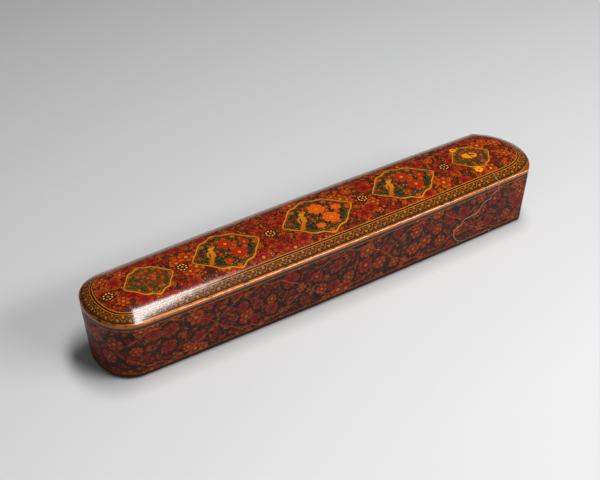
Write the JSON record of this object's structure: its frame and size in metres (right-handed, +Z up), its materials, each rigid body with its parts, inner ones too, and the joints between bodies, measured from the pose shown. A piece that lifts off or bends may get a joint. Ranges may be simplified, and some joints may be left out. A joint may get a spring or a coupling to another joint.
{
  "type": "pen box",
  "caption": "Long lacquered pen box with rounded ends and a domed lid; a drawer with a scallop-edged head slides out of the sheath and carries pens and a brass inkwell.",
  "frame": {"origin": "centre of the box's footprint, on the surface that it lies on", "axes": "+X along the box towards the drawer's head, +Y across it to the back, +Z up"},
  "size_m": [0.24, 0.0451, 0.0352],
  "materials": {
    "lacquered_case": "painted papier-mache under a glossy amber varnish",
    "lacquered_head": "painted papier-mache under a glossy amber varnish",
    "lacquered_tray": "plain red-brown lacquer on papier-mache",
    "brass": "worn satin brass",
    "silk_wad": "ink-soaked raw silk"
  },
  "bodies": {
    "case": {"case_shell": "lacquered_case"},
    "drawer": {"drawer_head": "lacquered_head", "drawer_tray": "lacquered_tray", "well_partition": "lacquered_tray", "inkwell_pot": "brass", "inkwell_neck": "brass", "inkwell_cover": "brass", "cover_knob": "brass", "ink_wad": "silk_wad"}
  },
  "joints": [
    {"name": "drawer_slide", "type": "slide", "parent": "case", "child": "drawer", "axis": [1, 0, 0], "range_m": [0, 0.185]}
  ]
}
